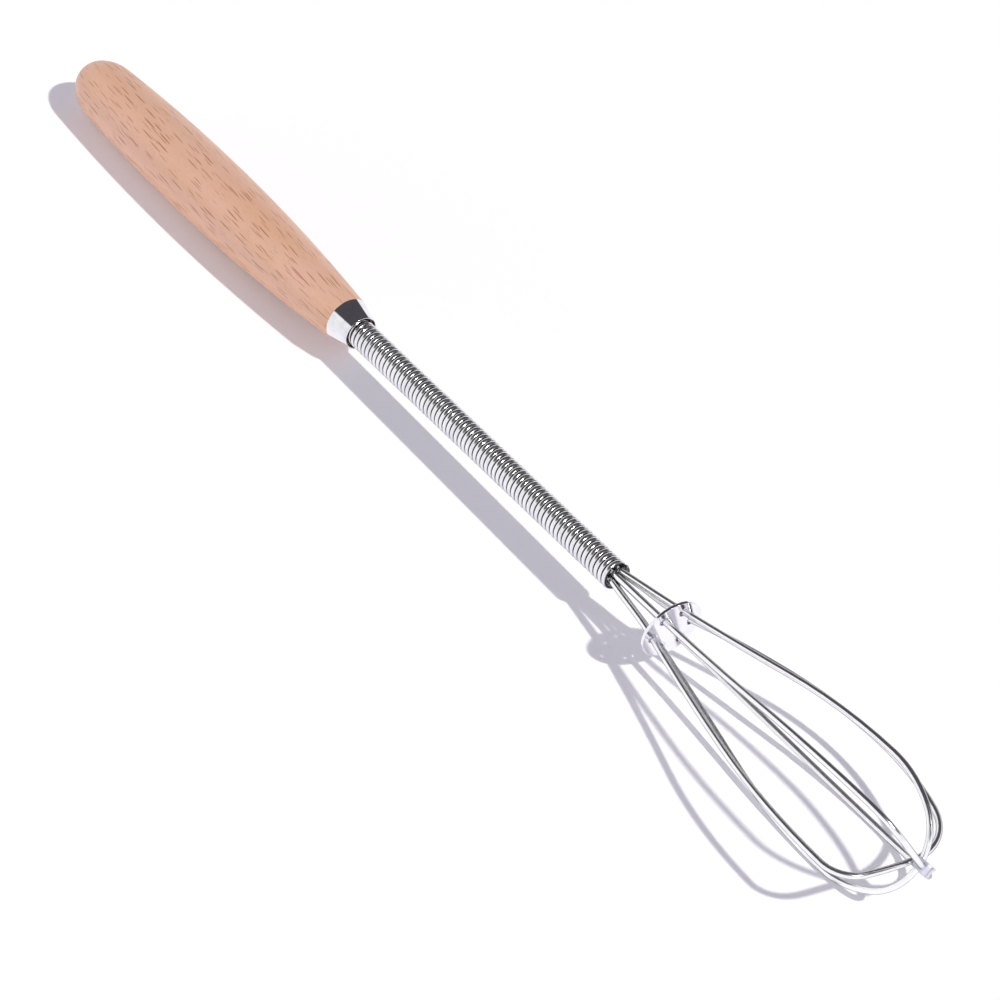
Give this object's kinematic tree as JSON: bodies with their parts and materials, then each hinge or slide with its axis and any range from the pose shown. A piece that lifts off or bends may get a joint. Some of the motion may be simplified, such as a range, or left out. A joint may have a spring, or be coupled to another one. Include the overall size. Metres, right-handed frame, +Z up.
{
  "type": "balloon whisk",
  "caption": "Slim hand whisk with a turned wooden handle, a wire-wrapped shaft, a round spreader disc and a balloon of bent wire loops for beating batter or eggs.",
  "frame": {"origin": "middle of the whisk's footprint on the flat surface that it lies on", "axes": "+X from the handle's butt to the tip, +Z up, away from the surface"},
  "size_m": [0.299, 0.0356, 0.0276],
  "materials": {
    "beech_wood": "satin, short dark flecks along the grain",
    "ferrule_steel": "polished",
    "shaft_wire_steel": "bright drawn wire",
    "loop_wire_steel": "bright drawn wire",
    "disc_steel": "mirror polished sheet",
    "clip_steel": "pressed sheet, satin",
    "set_adhesive": "set resin, hidden"
  },
  "bodies": {
    "root": {"handle": "beech_wood", "ferrule": "ferrule_steel", "coil_wrap": "shaft_wire_steel", "loop_wire_inner": "loop_wire_steel", "loop_wire_middle": "loop_wire_steel", "loop_wire_outer": "loop_wire_steel", "spreader_disc": "disc_steel", "tip_clip": "clip_steel", "bore_adhesive": "set_adhesive"}
  },
  "joints": []
}
